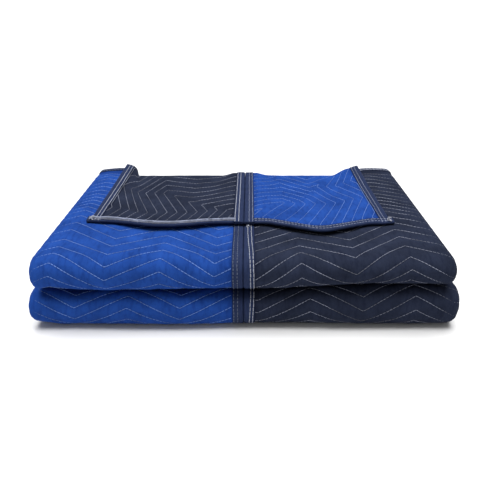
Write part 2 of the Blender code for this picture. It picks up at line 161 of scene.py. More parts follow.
OUTER = 2.5 * PITCH
MIDDLE = 1.5 * PITCH
INNER = 0.5 * PITCH
FLAP_REACH = FLAP_FOLD_RADIUS + TAPE_TOP
PILE_HEIGHT = (LAYERS - 1) * PITCH + CLOTH
FRONT_CENTRE = -PILE_DEPTH / 2 + OUTER + HALF_CLOTH
EAR_END = PILE_DEPTH / 2 - FLAP_REACH
BACK_CENTRE = EAR_END - OUTER - CLOTH
FAR_END = EAR_END - 2 * CLOTH


def layer_height(number):
    """Height of the middle of a layer, counted from 0 at the floor."""
    return HALF_CLOTH + number * PITCH


# Of each stretch of the strip: whether it turns, its way along Y, the length of its
# face cloth, the Y where it starts or turns, and the Z of its middle or its turn.
STRETCHES = (
    (False, -1, FAR_END - FRONT_CENTRE, FAR_END, layer_height(1)),
    (True, -1, math.pi * OUTER, FRONT_CENTRE, layer_height(2.5)),
    (False, 1, BACK_CENTRE - FRONT_CENTRE, FRONT_CENTRE, layer_height(4)),
    (True, 1, math.pi * INNER, BACK_CENTRE, layer_height(5.5)),
    (False, -1, BACK_CENTRE - FRONT_CENTRE, BACK_CENTRE, layer_height(7)),
    (True, -1, math.pi * OUTER, FRONT_CENTRE, layer_height(8.5)),
    (False, 1, EAR_END - FRONT_CENTRE, FRONT_CENTRE, layer_height(10)),
)
ENDS = [sum(stretch[2] for stretch in STRETCHES[:n + 1]) for n in range(len(STRETCHES))]
V_LOWER_FOLD, V_LOWER_TOP, V_TURN, V_TURNED, V_UPPER_FOLD, V_TOP, V_EAR = ENDS
V_FLAP = V_EAR + math.pi * FLAP_FOLD_RADIUS
V_HEM = V_FLAP + FLAP_LENGTH


def smooth(low, high, value):
    """0 below low, 1 above high, and a soft step between them."""
    t = min(max((value - low) / (high - low), 0.0), 1.0)
    return t * t * (3 - 2 * t)


def mix(a, b, share):
    return a + (b - a) * share


def parted(start, end, count):
    """The values from start to end in a count of even steps."""
    return [mix(start, end, n / count) for n in range(count + 1)]


def side_of(x):
    return -1 if x < 0 else 1


# ---------- the folds
def pile_point(v, w):
    """Y and Z of the strip at v, w off its middle layer."""
    number = 0
    while number < len(STRETCHES) - 1 and v > ENDS[number]:
        number += 1
    turns, way, length, y, z = STRETCHES[number]
    along = v - (ENDS[number] - length)
    if not turns:
        return y + way * along, z + way * w
    turn, radius = math.pi * along / length, MIDDLE - way * w
    return y + way * radius * math.sin(turn), z - radius * math.cos(turn)


def flap_slide(x, share=0.0):
    """How far the flap has slid forward at x, a share of the way to the hem."""
    side, out = side_of(x), abs(x)
    risen = smooth(CENTRE_ZONE, CENTRE_ZONE + mix(*CENTRE_RAMP, share), out)
    inner = mix(mix(*CENTRE_FORWARD, share), mix(*FORWARD[side], share), risen)
    inside = FLAP_EDGE[side] - out
    skewed = SIDE_SKEW * min(max(inside / EDGE_ZONE, 0.0), 1.0)
    followed = smooth(EDGE_ZONE, EDGE_ZONE + mix(*SIDE_RAMP[side], share), inside)
    return mix(mix(*SIDE_FORWARD[side], share), inner, mix(skewed, 1.0, followed))


def flap_lift(x, share):
    """Height of the flap over its fold's level, at a share of the way to the hem."""
    across = mix(CENTRE_LIFT, 1.0, smooth(0.0, LIFT_RAMP, abs(x)))
    across *= smooth(0.0, LIFT_RAMP, FLAP_EDGE[side_of(x)] - abs(x))
    return HEM_LIFT * across * share ** HEM_CURL - HEM_SETTLE * smooth(*HEM_SETTLING, share)


def flap_middle(x, v):
    """Y and Z of the middle of the flap's cloth."""
    z = layer_height(LAYERS - 1)
    if v <= V_FLAP:
        turn = (v - V_EAR) / FLAP_FOLD_RADIUS
        return (EAR_END - flap_slide(x) + FLAP_FOLD_RADIUS * math.sin(turn),
                z + FLAP_FOLD_RADIUS * (1 - math.cos(turn)))
    run = v - V_FLAP
    share = run / FLAP_LENGTH
    y = EAR_END - flap_slide(x, share) - run
    return y, z + 2 * FLAP_FOLD_RADIUS + flap_lift(x, share)


def flap_point(x, v, off):
    """Y and Z on the flap, off its middle towards the face of the cloth."""
    y_before, z_before = flap_middle(x, v - GAP)
    y_after, z_after = flap_middle(x, v + GAP)
    y, z = flap_middle(x, v)
    rise, run = z_after - z_before, y_after - y_before
    length = math.hypot(rise, run)
    return y - off * rise / length, z + off * run / length


def settling(x, y, z):
    """Y and Z by which the pile's weight rounds its ends and moves its front."""
    side, out = side_of(x), abs(x)
    level = min(max((z - HALF_CLOTH) / (PILE_HEIGHT - CLOTH), 0.0), 1.0)
    half = PILE_WIDTH / 2 + LOWER_SPREAD[side] * (1 - level)
    end = max(0.0, (out - (half - END_ZONE)) / END_ZONE) ** 2
    tilt = 2 * level - 1  # -1 at the bottom of the pile and 1 on top
    rise = end * (END_LIFT[side] * max(0.0, -tilt) - END_DROP[side] * max(0.0, tilt))
    rise += CREASE_RISE * (1 - abs(tilt)) * smooth(0.0, SAG_X[1][0], x)
    sag = 1 - smooth(*SAG_X[side], out)
    rise -= BACK_SAG * sag * level * smooth(*SAG_Y, y)
    near = smooth(-WAVE_FADE, PILE_DEPTH / 2, -y)
    wave = math.sin(WAVE_LONG * x + WAVE_PHASE) + math.sin(WAVE_SHORT * x + WAVE_RISING * z)
    return WAVE * near * (2 + wave), rise


def rumple(x, v, edge):
    """The cloth's small unevenness, up or down from its fold, none at its edge."""
    place = Vector((x * RUMPLE_SCALE, v * RUMPLE_SCALE, 0.0))
    across, along, layer = PUCKER_PLACE
    fine = Vector((x * across, v * along, layer))
    shown = smooth(V_LOWER_FOLD, V_LOWER_FOLD + RUMPLE_START, v) * edge
    finer, share = RUMPLE_FINER
    broad = RUMPLE * (noise.noise(place) + share * noise.noise(finer * place))
    return shown * (broad + PUCKER * noise.noise(fine))


class Panel:
    """One panel: half of the face, a side fold and a leg folded under.

    A column of its cloth is ("face", x from the middle of the blanket),
    ("fold", 0 at the face to 1 at the leg) or ("leg", x past the middle,
    below 0 on the panel's own side).
    """

    def __init__(self, side, under, leg_end, dip, drift):
        self.side, self.leg_end = side, leg_end
        self.dip, self.drift = dip, drift
        self.quilt = QUILTS[side]
        self.leg_w = PITCH * (1 - under)
        self.radius = PITCH * under / 2
        self.top_fold = PILE_WIDTH / 2 - self.radius - HALF_CLOTH
        self.flap_edge = FLAP_EDGE[side]
        self.flap_zone = self.flap_edge - EDGE_ZONE
        self.flap_half = FLAP_HALF_WIDTH[side]
        self.ear = self.flap_half + EAR_CLEARANCE
        self.tips = [dip + QUILT_APEX * n for n in range(-2, 4)]
        self.tips = [x for x in self.tips if CENTRE_ZONE + GAP < x < self.top_fold - GAP]
        front = V_LOWER_TOP + self.quilt["lower"]
        self.lower_lines = self.lines(front, 2 * EDGE_ZONE, V_LOWER_TOP + LINES_PAST)
        top = V_TOP + self.quilt["upper"]
        last = V_EAR - EDGE_ZONE - LOFT_RAMP
        self.upper_lines = self.lines(top, V_UPPER_FOLD - LINES_PAST, last)

    def fold_x(self, v):
        """Where the face ends and the side fold begins: further out in the lower strips."""
        spread = LOWER_SPREAD[self.side] * (1 - smooth(V_TURN, V_TURNED, v))
        return PILE_WIDTH / 2 + spread - self.radius - HALF_CLOTH

    def shift(self, v):
        """How far sideways the quilting has drifted at v."""
        return self.drift * max(0.0, V_TOP - v)

    def drifted(self, x, v):
        """Where a column of the face lies at v, drifting with the quilting."""
        shift = self.shift(v)
        first, last, top = self.tips[0], self.tips[-2], self.top_fold
        fold = self.fold_x(v)
        if x <= CENTRE_ZONE:
            return x
        if x < first:
            return x + shift * (x - CENTRE_ZONE) / (first - CENTRE_ZONE)
        if x <= last:
            return x + shift
        return last + shift + (fold - last - shift) * min((x - last) / (top - last), 1.0)

    def zigzag(self, x, v):
        """Height of the zigzag, from -1 in a dip to 1 at a peak."""
        phase = (x - self.dip - self.shift(v)) / QUILT_APEX
        return 1 - 2 * abs(phase % 2 - 1)

    def unrolled(self, column, v):
        """Distance along the cloth from the blanket's middle to a column."""
        kind, value = column
        if kind == "face":
            return self.drifted(value, v) if v <= V_EAR else value
        fold = self.fold_x(v)
        if kind == "fold":
            return fold + math.pi * self.radius * value
        return 2 * fold + math.pi * self.radius + value

    def row(self, column, v):
        """The v of a column where a row crosses it: the rows follow the zigzag."""
        kind, value = column
        if v > V_EAR:
            return v
        weight = face_weight(v) * {"face": 1.0, "fold": 1.0 - value, "leg": 0.0}[kind]
        across = self.unrolled(column, v)
        if kind == "face" and value <= CENTRE_ZONE:
            across = CENTRE_ZONE / 2
        climbed = self.climb(v) * max(across - self.quilt["level"], -QUILT_APEX)
        return v + weight * (self.rise(v) * self.zigzag(across, v) + climbed)

    def changing(self, name, span, v):
        """A size of the upper fold's zigzag at v, between its two values."""
        start, end = self.quilt[span]
        return mix(*self.quilt[name], smooth(V_TOP + start, V_TOP + end, v))

    def rise(self, v):
        """Half the zigzag's height."""
        return mix(LOWER_RISE, self.changing("rise", "change", v), on_upper_fold(v))

    def climb(self, v):
        """How much the lines climb outwards, on the upper fold and just behind it."""
        return on_upper_fold(v) * self.changing("climb", "climbing", v)

    def spacing(self, v):
        """From one stitch line to the next."""
        if v < V_TURNED:
            return LOWER_SPACING if V_LOWER_FOLD < v < V_LOWER_TOP + EDGE_ZONE else TURN_SPACING
        behind = smooth(V_TOP + BACK_START, V_TOP + BACK_SPACED, v)
        return mix(self.changing("spacing", "change", v), BACK_SPACING, behind)

    def lines(self, anchor, low, high):
        """The stitch lines between low and high, from one that is at anchor."""
        lines = [anchor]
        while (line := lines[-1] + self.spacing(lines[-1])) <= high:
            lines.append(line)
        while (line := lines[0] - self.spacing(lines[0] - LOWER_SPACING)) >= low:
            lines.insert(0, line)
        return lines

    def folded(self, column, v, off, flap):
        """A point of the evenly folded cloth, before it settles."""
        kind, value = column
        if kind == "face":
            x = value if flap else self.drifted(value, v)
            w = PITCH + off
        elif kind == "fold":
            reach = self.radius + off
            x = self.fold_x(v) + reach * math.sin(math.pi * value)
            w = PITCH - self.radius + reach * math.cos(math.pi * value)
        else:
            x, w = -value, self.leg_w - off
        x *= self.side
        if flap and v > V_EAR:
            y, z = flap_point(x, v, off)
        else:
            y, z = pile_point(v, w)
            if kind == "face":
                y -= flap_slide(x) * smooth(V_EAR - PULLED, V_EAR, v)
        return x, y, z

    def point(self, column, v, off=0.0, flap=False):
        """A point of the cloth's middle, or off it towards its face."""
        along, up = settling(*self.folded(column, v, 0.0, flap))
        if column[0] == "face":
            across = self.unrolled(column, v)
            edge = smooth(0.0, SOFT_SIDE, self.fold_x(v) - across)
            off += rumple(self.side * across, v, edge)
        x, y, z = self.folded(column, v, off, flap)
        return Vector((x + MIDDLE_X, y + along, z + up))

    # Points past an edge of the cloth, or inside it where past is below 0.

    def centre_fold(self, v, past, off):
        closed = 1 - END_CLOSING * smooth(V_HEM, V_HEM + TAPE_PAST, v)
        return self.point(("face", CENTRE_EDGE - past), v, off * closed, flap=v > V_EAR)

    def leg_fold(self, v, past, off):
        return self.point(("leg", self.leg_end + past), v, off)

    def side_fold(self, v, past, off):
        eased = past + SIDE_EASE if past > 0 else past
        return self.point(("face", self.flap_edge + eased), v, off, flap=True)

    def hem_fold(self, x, past, off):
        return self.point(("face", x), V_HEM + past, off, flap=True)

    def far_fold(self, column, past, off):
        return self.point(column, -past, off)

    def back_fold(self, column, past, off):
        return self.point(column, V_EAR + past, off)


# ---------- the quilting
def on_upper_fold(v):
    """Share of the upper fold's zigzag at v: none inside the pile or far behind it."""
    behind = smooth(V_TOP + BACK_START, V_TOP + BACK_FLAT, v)
    return smooth(V_TURNED, V_UPPER_FOLD - QUILT_RAMP, v) * (1 - behind)


def face_weight(v):
    """Share of the zigzag that the face's rows follow: none inside or at an edge."""
    lower = smooth(2 * EDGE_ZONE, 2 * EDGE_ZONE + QUILT_RAMP, v)
    lower *= 1 - smooth(V_LOWER_TOP, V_LOWER_TOP + QUILT_RAMP, v)
    upper = smooth(V_UPPER_FOLD - QUILT_RAMP, V_UPPER_FOLD, v)
    upper *= 1 - smooth(V_EAR - EDGE_ZONE - QUILT_RAMP, V_EAR - EDGE_ZONE, v)
    return lower + upper


def puffed(phase):
    """Loft between two stitch lines, which are at whole numbers of phase."""
    return mix(STITCH_LOFT, 1.0, abs(math.sin(math.pi * phase)) ** PUFF)


# The flap's lines lie in nested corners round the middle of its hem: each runs
# along the hem and then turns up beside the flap's side. A family has the spacing
# of its lines, where line 0 lies, half the height of their zigzag, the place of a
# peak and the distance to the next dip. Given are those beside the side and along
# the hem.
Family = namedtuple("Family", "spacing start rise peak apex")
FLAP_QUILTS = {
    -1: (Family(0.0164, 0.0145, 0.0195, 0.168, 0.112), Family(0.0270, 0.0199, 0.0131, 0.000, 0.0776)),
    1: (Family(0.0178, 0.0155, 0.0200, 0.115, 0.095), Family(0.0225, 0.0718, 0.0242, 0.050, 0.055)),
}
FLAP_LINES = range(-3, 14)


def zigzag_line(family, number, along):
    """How far out a line of a family lies: a peak is further out than a dip."""
    phase = (along - family.peak) / family.apex
    zigzag = 1 - 2 * abs((phase + 1) % 2 - 1)
    return family.start + number * family.spacing + family.rise * zigzag


def line_number(family, along, out):
    """The number of the line at a point, whole on a line and between two of them."""
    return (out - zigzag_line(family, 0, along)) / family.spacing


def flap_phase(side, x, v):
    """The flap's line at a point: the further out of the two families."""
    beside, along = FLAP_QUILTS[side]
    out, up = abs(x) - CENTRE_ZONE, V_HEM - v
    return max(line_number(beside, up, out), line_number(along, out, up))


# ---------- the sheets
FINE = 0.0026  # the flap's grid
LEG_STEP = QUILT_APEX / 4
WELD = 2e-6  # points nearer than this are one
# Steps round a side fold, of the grid and of a seam.
FOLD_STEPS = 8
SEAM_FOLD_STEPS = 16
# The grid's steps along the strip:
UNDER_STEPS = 4  # from a stitch line to the next, at the bottom of the pile
SHOWN_STEPS = 8  # the same where they show
TO_TURN = 13  # from the lower fold's lines to the back turn
TURN_STEPS = 18  # round it
FROM_TURN = 7  # from it to the upper fold's lines
BEND_STEPS = 6  # round the flap's fold


def subdivided(stops, step):
    """The stops with an even number of steps between each two."""
    values = []
    for low, high in zip(stops, stops[1:]):
        count = 2 * max(1, math.ceil((high - low) / step / 2))
        values += [mix(low, high, n / count) for n in range(count)]
    return values + [stops[-1]]


def fold_columns(steps):
    """Columns round the side fold, past the face's last one."""
    return [("fold", turn / steps) for turn in range(1, steps + 1)]


def panel_columns(panel):
    """The grid's columns, each with the one that stands for it off the flap."""
    stops = [CENTRE_EDGE, CENTRE_ZONE, panel.flap_zone, panel.flap_edge, panel.top_fold]
    values = subdivided(sorted(stops + panel.tips), FINE)
    columns = [(("face", x), ("face", values[n - n % 2])) for n, x in enumerate(values)]
    columns += [(column, column) for column in fold_columns(FOLD_STEPS)]
    count = math.ceil((panel.leg_end - EDGE_ZONE + panel.top_fold) / LEG_STEP)
    legs = parted(-panel.top_fold, panel.leg_end - EDGE_ZONE, count)[1:] + [panel.leg_end]
    return columns + [(("leg", x), ("leg", x)) for x in legs]


def line_rows(lines, steps):
    """Rows between the stitch lines: (v, phase, v for the legs)."""
    rows = []
    for n, (low, high) in enumerate(zip(lines, lines[1:])):
        rows += [(mix(low, high, step / steps), n + step / steps, low) for step in range(steps)]
    return rows + [(lines[-1], len(lines) - 1, lines[-1])]


def plain_rows(values):
    """Rows of cloth without stitch lines."""
    return [(v, None, v) for v in values]


def cloth_rows(panel):
    in_front = [v for v in panel.lower_lines if v >= V_LOWER_FOLD - QUILT_RAMP]
    under = [v for v in panel.lower_lines if v <= in_front[0]]
    upper = panel.upper_lines
    rows = plain_rows((0.0, EDGE_ZONE))
    rows += line_rows(under, UNDER_STEPS)[:-1]
    rows += line_rows(in_front, SHOWN_STEPS)
    inside = parted(in_front[-1], V_TURN, TO_TURN)[1:-1] + parted(V_TURN, V_TURNED, TURN_STEPS)
    rows += plain_rows(inside + parted(V_TURNED, upper[0], FROM_TURN)[1:-1])
    rows += line_rows(upper, SHOWN_STEPS)
    rows += plain_rows([V_EAR - EDGE_ZONE] + parted(V_EAR, V_FLAP, BEND_STEPS))
    return rows + plain_rows(stations(V_FLAP, V_HEM, FINE)[1:])


def make_object(name, data, *materials):
    thing = bpy.data.objects.new(name, data)
    bpy.context.scene.collection.objects.link(thing)
    for material in materials:
        data.materials.append(material)
    return thing


def make_sheet(name, wide, long, place, thickness, *materials, flipped=False):
    """A thick sheet of wide by long points, each put where place(i, j) says.

    place gives the point, its loft and its place on the flat cloth, or nothing
    where the cloth ends. Points put in one place become one. The last material
    is for the sheet's back.
    """
    bm = bmesh.new()
    bmesh.ops.create_grid(bm, x_segments=wide - 1, y_segments=long - 1, size=1.0)
    weights = bm.verts.layers.deform.verify()
    flat = bm.verts.layers.float_vector.new("flat")
    unused = []
    for vert in bm.verts:
        i = round((vert.co.x + 1) / 2 * (wide - 1))
        j = round((vert.co.y + 1) / 2 * (long - 1))
        placed = place(i, j)
        if placed is None:
            unused.append(vert)
        else:
            vert.co, vert[weights][0], vert[flat] = placed
    bmesh.ops.delete(bm, geom=unused, context="VERTS")
    bmesh.ops.remove_doubles(bm, verts=bm.verts, dist=WELD)
    if flipped:
        bmesh.ops.reverse_faces(bm, faces=bm.faces)
    mesh = bpy.data.meshes.new(name)
    bm.to_mesh(mesh)
    bm.free()
    mesh.shade_smooth()
    sheet = make_object(name, mesh, *materials)
    sheet.vertex_groups.new(name="loft")
    solidify = sheet.modifiers.new("thickness", "SOLIDIFY")
    solidify.thickness = thickness
    solidify.offset = 0.0
    solidify.vertex_group = "loft"
    solidify.material_offset = len(materials) - 1
    return sheet


def cloth_loft(panel, column, v, phase):
    """Share of the cloth's full thickness at a point."""
    kind, value = column
    if kind == "leg" and value >= panel.leg_end - EDGE_ZONE:
        return EDGE_LOFT
    if (kind != "face" or value >= panel.flap_edge) and V_EAR - EDGE_ZONE <= v <= V_EAR:
        return EDGE_LOFT
    if kind == "face" and v > V_FLAP:
        phase = flap_phase(panel.side, value, v)
    loft = HIDDEN_LOFT if kind == "leg" or phase is None else puffed(phase)
    if kind == "face":
        inside = value - CENTRE_ZONE
        if v > V_EAR:
            inside = min(inside, panel.flap_zone - value, V_HEM - EDGE_ZONE - v)
        loft = mix(EDGE_LOFT, loft, smooth(0.0, LOFT_RAMP, inside))
    if kind != "leg" and v < V_EAR:
        side = smooth(panel.top_fold - SOFT_SIDE, panel.top_fold, value) if kind == "face" else 1.0
        loft = mix(loft, HIDDEN_LOFT, SIDE_EVENED * side)
    return loft


def make_cloth(name, panel, materials):
    """The panel's quilted cloth, with the flap as a tongue of its face."""
    columns, rows = panel_columns(panel), cloth_rows(panel)

    def place(i, j):
        fine, coarse = columns[i]
        v, phase, leg_v = rows[j]
        on_flap = fine[0] == "face" and fine[1] <= panel.flap_edge
        if v > V_EAR and not on_flap:
            return None
        column = fine if v > V_EAR else coarse
        if column[0] == "leg":
            v = leg_v
        loft = cloth_loft(panel, column, v, phase)
        v = panel.row(column, v)
        flat = (panel.side * panel.unrolled(column, v), v, loft)
        return panel.point(column, v, flap=on_flap and v > V_EAR), loft, flat

    return make_sheet(name, len(columns), len(rows), place, CLOTH, *materials, flipped=panel.side < 0)


# ---------- the bindings
TAPE_FLAT = (-1.0, -0.72, -0.4)  # points on the binding's flat part, in TAPEs
ROUND_START = -0.0015  # from the cloth's edge to where its round edge begins
TAPE_ROUND = 4  # points on each quarter of that
TAPE_STATION = 0.0045  # between two sections of a binding that shows
SCALLOP = 0.00012  # how far its stitches draw the binding in
SCALLOP_LENGTH = 0.0105


def tape_profile():
    """The binding's section: (distance past the cloth's edge, height)."""
    half = [(stop * TAPE, TAPE_OFFSET) for stop in TAPE_FLAT]
    for n in range(TAPE_ROUND):
        angle = math.pi / 2 * n / TAPE_ROUND
        past = mix(ROUND_START, TAPE_PAST, math.sin(angle))
        half.append((past, TAPE_OFFSET * math.cos(angle)))
    mirrored = [(past, -off) for past, off in reversed(half)]
    return half + [(TAPE_PAST, 0.0)] + mirrored


PROFILE = tape_profile()


def make_tape(name, places, fold, material):
    """A tape folded over an edge: fold(place, past, off) gives its points."""

    def place(i, j):
        past, off = PROFILE[i]
        along = j * TAPE_STATION
        drawn = 1 - SCALLOP / TAPE_OFFSET * math.cos(2 * math.pi * along / SCALLOP_LENGTH)
        return fold(places[j], past, off * drawn), 1.0, (past, along, 0.0)

    return make_sheet(name, len(PROFILE), len(places), place, TAPE_THICKNESS, material)


def stations(start, end, step=TAPE_STATION):
    return parted(start, end, max(1, round((end - start) / step)))


def leg_stations(panel, step):
    """Across the leg, from the side fold to its binding."""
    return stations(-panel.top_fold, panel.leg_end - EDGE_ZONE - GAP, step)


def end_stations(panel, start):
    faces = [("face", x) for x in stations(start, panel.top_fold)]
    legs = [("leg", x) for x in leg_stations(panel, LEG_STEP)[1:]]
    return faces + fold_columns(FOLD_STEPS) + legs


def make_bindings(side, panel, material):
    """The panel's six bindings, each in the place of a CAD node."""
    inner = TAPE + GAP  # where a binding ends beside the next one's inner edge
    centre = stations(-TAPE_PAST, V_HEM) + [V_HEM + TAPE_PAST / 2, V_HEM + TAPE_PAST]
    legs = stations(-TAPE_PAST, V_EAR + TAPE_PAST)
    flap_side = stations(V_EAR + 3 * GAP, V_HEM - inner)
    hem = stations(CENTRE_EDGE + inner, panel.flap_half + STUB)
    jobs = (
        ("centre", centre, panel.centre_fold),
        ("leg", legs, panel.leg_fold),
        ("flap_side", flap_side, panel.side_fold),
        ("hem", hem, panel.hem_fold),
        ("far", end_stations(panel, CENTRE_EDGE + inner), panel.far_fold),
        ("back", end_stations(panel, panel.ear), panel.back_fold),
    )
    made = []
    for kind, places, fold in jobs:
        tape = make_tape(f"tape_{kind}_{side}", places, fold, material)
        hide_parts(f"binding_{kind}_{side}")
        made.append(tape)
    return made


# ---------- the stitches
# A stitch's points: how far along it, its share of the lift and of its thickness.
STITCH_SHAPE = ((0.0, -0.6, 0.7), (0.16, 0.8, 1.0), (0.84, 0.8, 1.0), (1.0, -0.6, 0.7))
GAP_BEFORE = (0.2, 0.8)  # share of the gap that is left before a stitch
GAP_AFTER = (0.2, 0.6)  # and after it
LOOP_STEPS = 8
LOOP_WIDTH = 0.8  # its share of the thread's thickness

# How a thread is sewn: a stitch's length, the gap to the next, below 0 where they
# lie over each other, its radius, its height off the cloth and its way aside.
Thread = namedtuple("Thread", "material length gap radius lift wander")
OUTWARD = 0.001  # length over which a seam takes the cloth's outward way


def seam(point, places, off):
    """Points 'off' the cloth along a seam, each with the cloth's own outward way."""
    further = off + math.copysign(OUTWARD, off)
    pairs = [(point(place, off), point(place, further)) for place in places]
    return [(near, (far - near) / OUTWARD) for near, far in pairs]


def sew(name, thread, seams, seed, loose=()):
    """One mesh of all the stitches along the seams, and of some loose threads."""
    draw = random.Random(seed)
    curve = bpy.data.curves.new(name, "CURVE")
    curve.dimensions = "3D"
    curve.bevel_depth = thread.radius
    curve.bevel_resolution = 0
    for line in seams:
        lengths = [0.0]
        for (a, _), (b, _) in zip(line, line[1:]):
            lengths.append(lengths[-1] + (b - a).length)
        count = max(1, round(lengths[-1] / (thread.length + thread.gap)))
        pitch = lengths[-1] / count
        for n in range(count):
            start = pitch * n + thread.gap * draw.uniform(*GAP_BEFORE)
            end = pitch * (n + 1) - thread.gap * draw.uniform(*GAP_AFTER)
            aside = draw.uniform(-thread.wander, thread.wander)
            add_stitch(curve, thread, line, lengths, start, end, aside)
    for place, spread, count in loose:
        for _ in range(count):
            add_loop(curve, place, spread, draw)
    made = make_object(name + "_curve", curve)
    mesh = bpy.data.meshes.new_from_object(made)
    mesh.name = name
    bpy.data.objects.remove(made)
    mesh.shade_smooth()
    return make_object(name, mesh, thread.material)


def at_length(line, lengths, at):
    """The point and outward way at a distance along a seam."""
    low, high = 0, len(lengths) - 1
    while high - low > 1:
        middle = (low + high) // 2
        low, high = (middle, high) if lengths[middle] <= at else (low, middle)
    share = (at - lengths[low]) / max(lengths[high] - lengths[low], 1e-9)
    return line[low][0].lerp(line[high][0], share), line[low][1].lerp(line[high][1], share)


def add_stitch(curve, thread, line, lengths, start, end, aside):
    """One stitch, which dives into the cloth at both of its ends."""
    first, _ = at_length(line, lengths, start)
    last, out = at_length(line, lengths, end)
    across = (last - first).cross(out).normalized()
    spline = curve.splines.new("POLY")
    spline.points.add(len(STITCH_SHAPE) - 1)
    for target, (share, height, width) in zip(spline.points, STITCH_SHAPE):
        place, out = at_length(line, lengths, mix(start, end, share))
        place = place + out * thread.lift * height + across * aside
        target.co = (*place, 1.0)
        target.radius = width


def add_loop(curve, place, spread, draw):
    """A loose bit of thread, bent between four points about a place, none under it."""
    corners = []
    for _ in range(4):
        aside = Vector([draw.uniform(-1.0, 1.0) for _ in range(3)])
        aside.z = abs(aside.z)
        corners.append(place + Vector([s * a for s, a in zip(spread, aside)]))
    spline = curve.splines.new("POLY")
    spline.points.add(LOOP_STEPS)
    for n, target in enumerate(spline.points):
        t = n / LOOP_STEPS
        first, middle, last = (corners[k].lerp(corners[k + 1], t) for k in range(3))
        target.co = (*first.lerp(middle, t).lerp(middle.lerp(last, t), t), 1.0)
        target.radius = LOOP_WIDTH


# ---------- materials
def srgb(*values):
    """A colour of red, green and blue from 0 to 255, as the shader's linear one."""
    return tuple(((value / 255 + 0.055) / 1.055) ** 2.4 for value in values)


class Nodes:
    """Short ways to add the nodes of one material."""

    def __init__(self, name):
        self.material = bpy.data.materials.new(name)
        self.material.use_nodes = True
        self.tree = self.material.node_tree

    def fill(self, node, inputs):
        """Link or set a node's inputs, given by their name or number."""
        for key, value in inputs.items():
            if isinstance(value, bpy.types.NodeSocket):
                self.tree.links.new(value, node.inputs[key])
            else:
                node.inputs[key].default_value = value
        return node

    def add(self, kind, inputs, **settings):
        node = self.tree.nodes.new(kind)
        for key, value in settings.items():
            setattr(node, key, value)
        return self.fill(node, inputs)

    def finish(self, inputs):
        self.fill(self.tree.nodes["Principled BSDF"], inputs)
        return self.material

    def math(self, operation, a, b):
        return self.add("ShaderNodeMath", {0: a, 1: b}, operation=operation).outputs[0]

    def flat(self):
        """Places on the flat cloth in metres, and the loft there."""
        return self.add("ShaderNodeAttribute", {}, attribute_name="flat").outputs["Vector"]

    def place(self):
        return self.add("ShaderNodeTexCoord", {}).outputs["Object"]

    def parts(self, vector):
        return self.add("ShaderNodeSeparateXYZ", {0: vector}).outputs

    def noise(self, vector, scale, detail, rough):
        inputs = {"Vector": vector, "Scale": scale, "Detail": detail, "Roughness": rough}
        return self.add("ShaderNodeTexNoise", inputs, noise_dimensions="2D").outputs["Fac"]

    def drawn_noise(self, vector, across, along, rough):
        """Noise with its own scale across and along the cloth."""
        inputs = {"Vector": vector, "Scale": (across, along, 1.0)}
        scaled = self.add("ShaderNodeMapping", inputs).outputs[0]
        return self.noise(scaled, 1.0, 3.0, rough)

    def ramp(self, fac, low, high, dark, light):
        node = self.add("ShaderNodeValToRGB", {"Fac": fac})
        for stop, at, colour in zip(node.color_ramp.elements, (low, high), (dark, light)):
            stop.position, stop.color = at, (*colour, 1.0)
        return node.outputs["Color"]

    def multiply(self, a, b, share=1.0):
        inputs = {0: share, 6: a, 7: b}
        return self.add("ShaderNodeMix", inputs, data_type="RGBA", blend_type="MULTIPLY").outputs[2]

    def bump(self, height, distance, under=None):
        inputs = {"Height": height, "Distance": distance}
        if under:
            inputs["Normal"] = under
        return self.add("ShaderNodeBump", inputs).outputs["Normal"]


WEAVE = 0.0009  # between two yarns of the cloth
WHITE = (1.0, 1.0, 1.0)
THREAD_DARK = 0.72  # share of a thread's colour between its fibres
FLOOR_TONES = ((0.79,) * 3, (0.81,) * 3)


def weave_height(nodes, flat):
    """A plain weave: yarns that go over and under each other."""
    turned = [nodes.math("MULTIPLY", part, math.pi / WEAVE) for part in nodes.parts(flat)[:2]]
    waves = [nodes.math("SINE", angle, 0.0) for angle in turned]
    return nodes.math("ABSOLUTE", nodes.math("MULTIPLY", *waves), 0.0)


def cloth_material(name, base, dark, sheen):
    """Blotchy cloth with short dabs, darkened by painted shade and some dirt in its low grooves at
    the stitch lines.
    """
    nodes = Nodes(name)
    flat = nodes.flat()
    blotches = nodes.noise(flat, 22.0, 4.0, 0.6)
    dabs = nodes.drawn_noise(flat, 190.0, 60.0, 0.55)
    wrinkles = nodes.drawn_noise(flat, 420.0, 190.0, 0.6)
    dabbed = nodes.ramp(dabs, 0.30, 0.52, (0.66, 0.69, 0.76), WHITE)
    # painted shade with some dirt: the colour is darker where the loft is low, in the stitch grooves
    # and beside the bindings
    groove_shade_and_dirt = nodes.ramp(nodes.parts(flat)[2], STITCH_LOFT, 0.80, (0.66, 0.68, 0.74), WHITE)
    colour = nodes.multiply(nodes.ramp(blotches, 0.30, 0.70, dark, base), dabbed, 0.75)
    return nodes.finish({
        "Base Color": nodes.multiply(colour, groove_shade_and_dirt, 0.8),
        "Normal": nodes.bump(weave_height(nodes, flat), 0.00012, nodes.bump(wrinkles, 0.0009)),
        "Roughness": 0.9, "Specular IOR Level": 0.03,
        "Sheen Weight": sheen, "Sheen Roughness": 0.5})


def tape_material(name, base, dark):
    """Streaky twill."""
    nodes = Nodes(name)
    flat = nodes.flat()
    inputs = {"Vector": flat, "Scale": 290.0, "Distortion": 0.6}
    twill = nodes.add("ShaderNodeTexWave", inputs, wave_type="BANDS", bands_direction="DIAGONAL")
    streaks = nodes.drawn_noise(flat, 900.0, 60.0, 0.6)
    return nodes.finish({
        "Base Color": nodes.ramp(streaks, 0.25, 0.75, dark, base),
        "Normal": nodes.bump(twill.outputs["Fac"], 0.00018),
        "Roughness": 0.7, "Specular IOR Level": 0.05})


